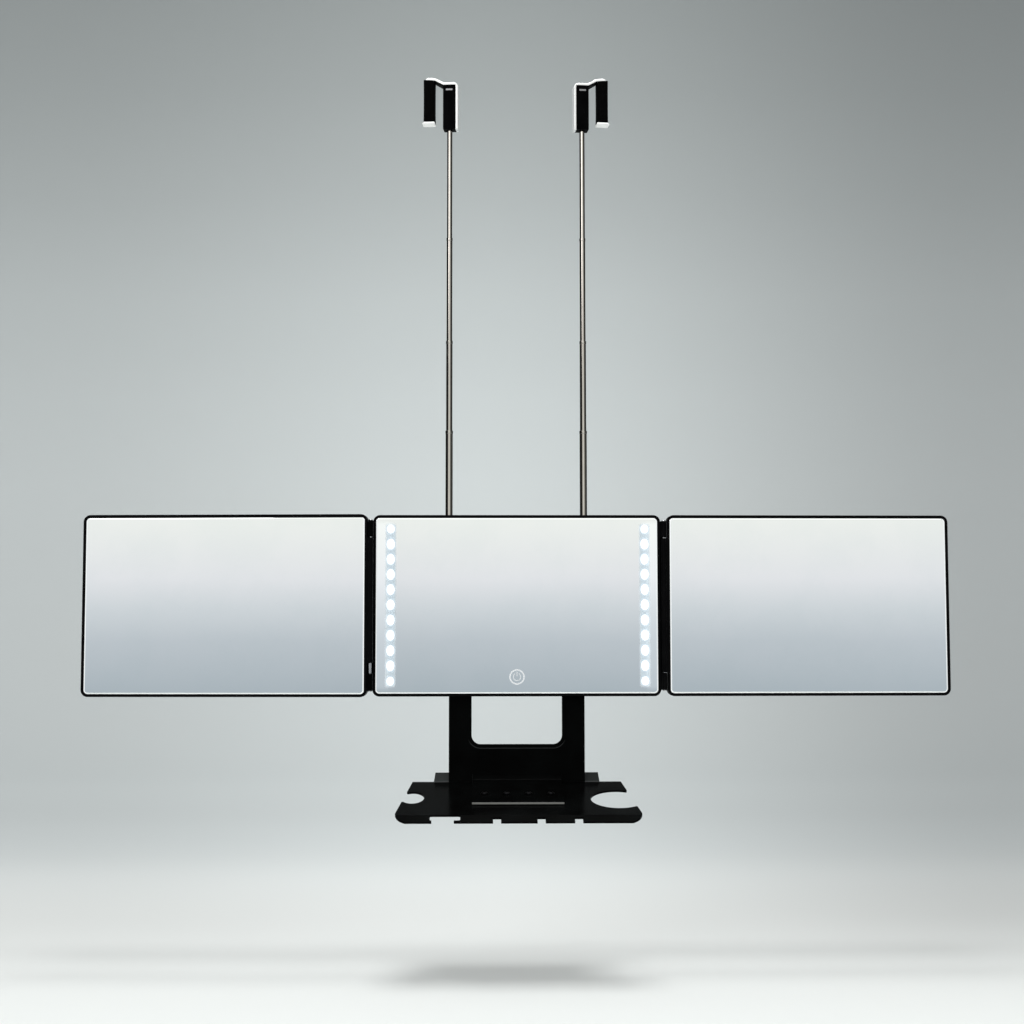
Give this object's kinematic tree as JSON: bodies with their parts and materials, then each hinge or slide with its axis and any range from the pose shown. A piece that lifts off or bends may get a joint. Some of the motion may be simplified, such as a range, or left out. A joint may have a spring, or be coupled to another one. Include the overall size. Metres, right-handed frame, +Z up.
{
  "type": "trifold vanity mirror",
  "caption": "Trifold lighted vanity mirror with hinged side panels, telescopic hanging rods with door hooks and a sloping tool tray.",
  "frame": {"origin": "centre of the middle panel's flat back face", "axes": "+X to the viewer's right along the panels, +Y away from the viewer out of the back face, +Z up along the rods"},
  "size_m": [0.8689, 0.1258, 0.7529],
  "materials": {
    "frame_plastic": "satin black moulding",
    "cover_plastic": "fine-grained black",
    "mirror_glass": "silvered glass with a ground bevel",
    "tape_foam": "double-sided foam tape",
    "frosted_diffuser": "frosted translucent white",
    "circuit_board": "solder-masked board",
    "light_chip": "phosphor-coated light",
    "touch_foam": "conductive foam",
    "battery_foil": "pouch foil",
    "port_metal": "drawn shell",
    "lead_insulation": "insulated wire",
    "screw_steel": "dark zinc",
    "hinge_steel": "bright steel pin",
    "bracket_metal": "semi-gloss black powder coat",
    "tray_screw_black": "black oxide",
    "clevis_plastic": "black moulding",
    "rod_steel": "polished stainless tube",
    "strap_metal": "bright satin strap",
    "hook_plastic": "black moulding",
    "clip_steel": "spring steel",
    "hook_rubber": "soft black sleeve",
    "foot_rubber": "soft white cap"
  },
  "bodies": {
    "centre_panel": {"centre_frame": "frame_plastic", "centre_back_cover": "cover_plastic", "centre_glass": "mirror_glass", "centre_glass_tape": "tape_foam", "light_diffuser_left": "frosted_diffuser", "light_diffuser_right": "frosted_diffuser", "light_board_left": "circuit_board", "light_board_right": "circuit_board", "light_chips": "light_chip", "control_board": "circuit_board", "touch_ring": "frosted_diffuser", "touch_pad": "touch_foam", "battery": "battery_foil", "charging_port": "port_metal", "internal_leads": "lead_insulation", "centre_cover_screws": "screw_steel", "tray_pegs": "screw_steel", "hinge_post": "bracket_metal", "hinge_post_screws": "screw_steel", "left_hinge_pin": "hinge_steel", "right_hinge_pin": "hinge_steel", "left_rod_clevis": "clevis_plastic", "right_rod_clevis": "clevis_plastic", "left_rod_pivot_pin": "hinge_steel", "right_rod_pivot_pin": "hinge_steel", "rod_clevis_screws": "screw_steel"},
    "left_panel": {"left_frame": "frame_plastic", "left_back_cover": "cover_plastic", "left_glass": "mirror_glass", "left_glass_tape": "tape_foam", "left_cover_screws": "screw_steel"},
    "right_panel": {"right_frame": "frame_plastic", "right_back_cover": "cover_plastic", "right_glass": "mirror_glass", "right_glass_tape": "tape_foam", "right_cover_screws": "screw_steel"},
    "tray_bracket": {"bracket_plate": "bracket_metal", "tray": "bracket_metal", "tray_screws": "tray_screw_black", "tray_nuts": "screw_steel"},
    "left_rod_lower": {"left_rod_eye": "clevis_plastic", "left_rod_tube_1": "rod_steel"},
    "left_rod_middle": {"left_rod_tube_2": "rod_steel"},
    "left_rod_upper": {"left_rod_tube_3": "rod_steel"},
    "left_rod_end": {"left_rod_tip": "rod_steel"},
    "left_hook": {"left_hook_strap": "strap_metal", "left_hook_block": "hook_plastic", "left_hook_clip": "clip_steel", "left_hook_sleeve": "hook_rubber", "left_hook_foot": "foot_rubber"},
    "right_rod_lower": {"right_rod_eye": "clevis_plastic", "right_rod_tube_1": "rod_steel"},
    "right_rod_middle": {"right_rod_tube_2": "rod_steel"},
    "right_rod_upper": {"right_rod_tube_3": "rod_steel"},
    "right_rod_end": {"right_rod_tip": "rod_steel"},
    "right_hook": {"right_hook_strap": "strap_metal", "right_hook_block": "hook_plastic", "right_hook_clip": "clip_steel", "right_hook_sleeve": "hook_rubber", "right_hook_foot": "foot_rubber"}
  },
  "joints": [
    {"name": "left_panel_hinge", "type": "hinge", "parent": "centre_panel", "child": "left_panel", "pos_m": [-0.1454, -0.0269, 0], "axis": [0, 0, 1], "range_deg": [-2, 183]},
    {"name": "right_panel_hinge", "type": "hinge", "parent": "centre_panel", "child": "right_panel", "pos_m": [0.14725, -0.0133, 0], "axis": [0, 0, -1], "range_deg": [-4, 181]},
    {"name": "tray_lift", "type": "slide", "parent": "centre_panel", "child": "tray_bracket", "axis": [0, 0, 1], "range_m": [0, 0.012]},
    {"name": "left_rod_fold", "type": "hinge", "parent": "centre_panel", "child": "left_rod_lower", "pos_m": [-0.06865, 0.015, 0.05], "axis": [-1, 0, 0], "range_deg": [0, 180]},
    {"name": "left_middle_stage", "type": "slide", "parent": "left_rod_lower", "child": "left_rod_middle", "axis": [0, 0, 1], "range_m": [-0.089, 0]},
    {"name": "left_upper_stage", "type": "slide", "parent": "left_rod_middle", "child": "left_rod_upper", "axis": [0, 0, 1], "range_m": [-0.1034, 0]},
    {"name": "left_end_stage", "type": "slide", "parent": "left_rod_upper", "child": "left_rod_end", "axis": [0, 0, 1], "range_m": [-0.108, 0]},
    {"name": "left_hook_swivel", "type": "hinge", "parent": "left_rod_end", "child": "left_hook", "pos_m": [-0.06865, 0.015, 0.515], "axis": [0, 0, 1], "continuous": true},
    {"name": "right_rod_fold", "type": "hinge", "parent": "centre_panel", "child": "right_rod_lower", "pos_m": [0.06865, 0.015, 0.05], "axis": [-1, 0, 0], "range_deg": [0, 180]},
    {"name": "right_middle_stage", "type": "slide", "parent": "right_rod_lower", "child": "right_rod_middle", "axis": [0, 0, 1], "range_m": [-0.089, 0]},
    {"name": "right_upper_stage", "type": "slide", "parent": "right_rod_middle", "child": "right_rod_upper", "axis": [0, 0, 1], "range_m": [-0.1034, 0]},
    {"name": "right_end_stage", "type": "slide", "parent": "right_rod_upper", "child": "right_rod_end", "axis": [0, 0, 1], "range_m": [-0.108, 0]},
    {"name": "right_hook_swivel", "type": "hinge", "parent": "right_rod_end", "child": "right_hook", "pos_m": [0.06865, 0.015, 0.515], "axis": [0, 0, 1], "continuous": true}
  ]
}
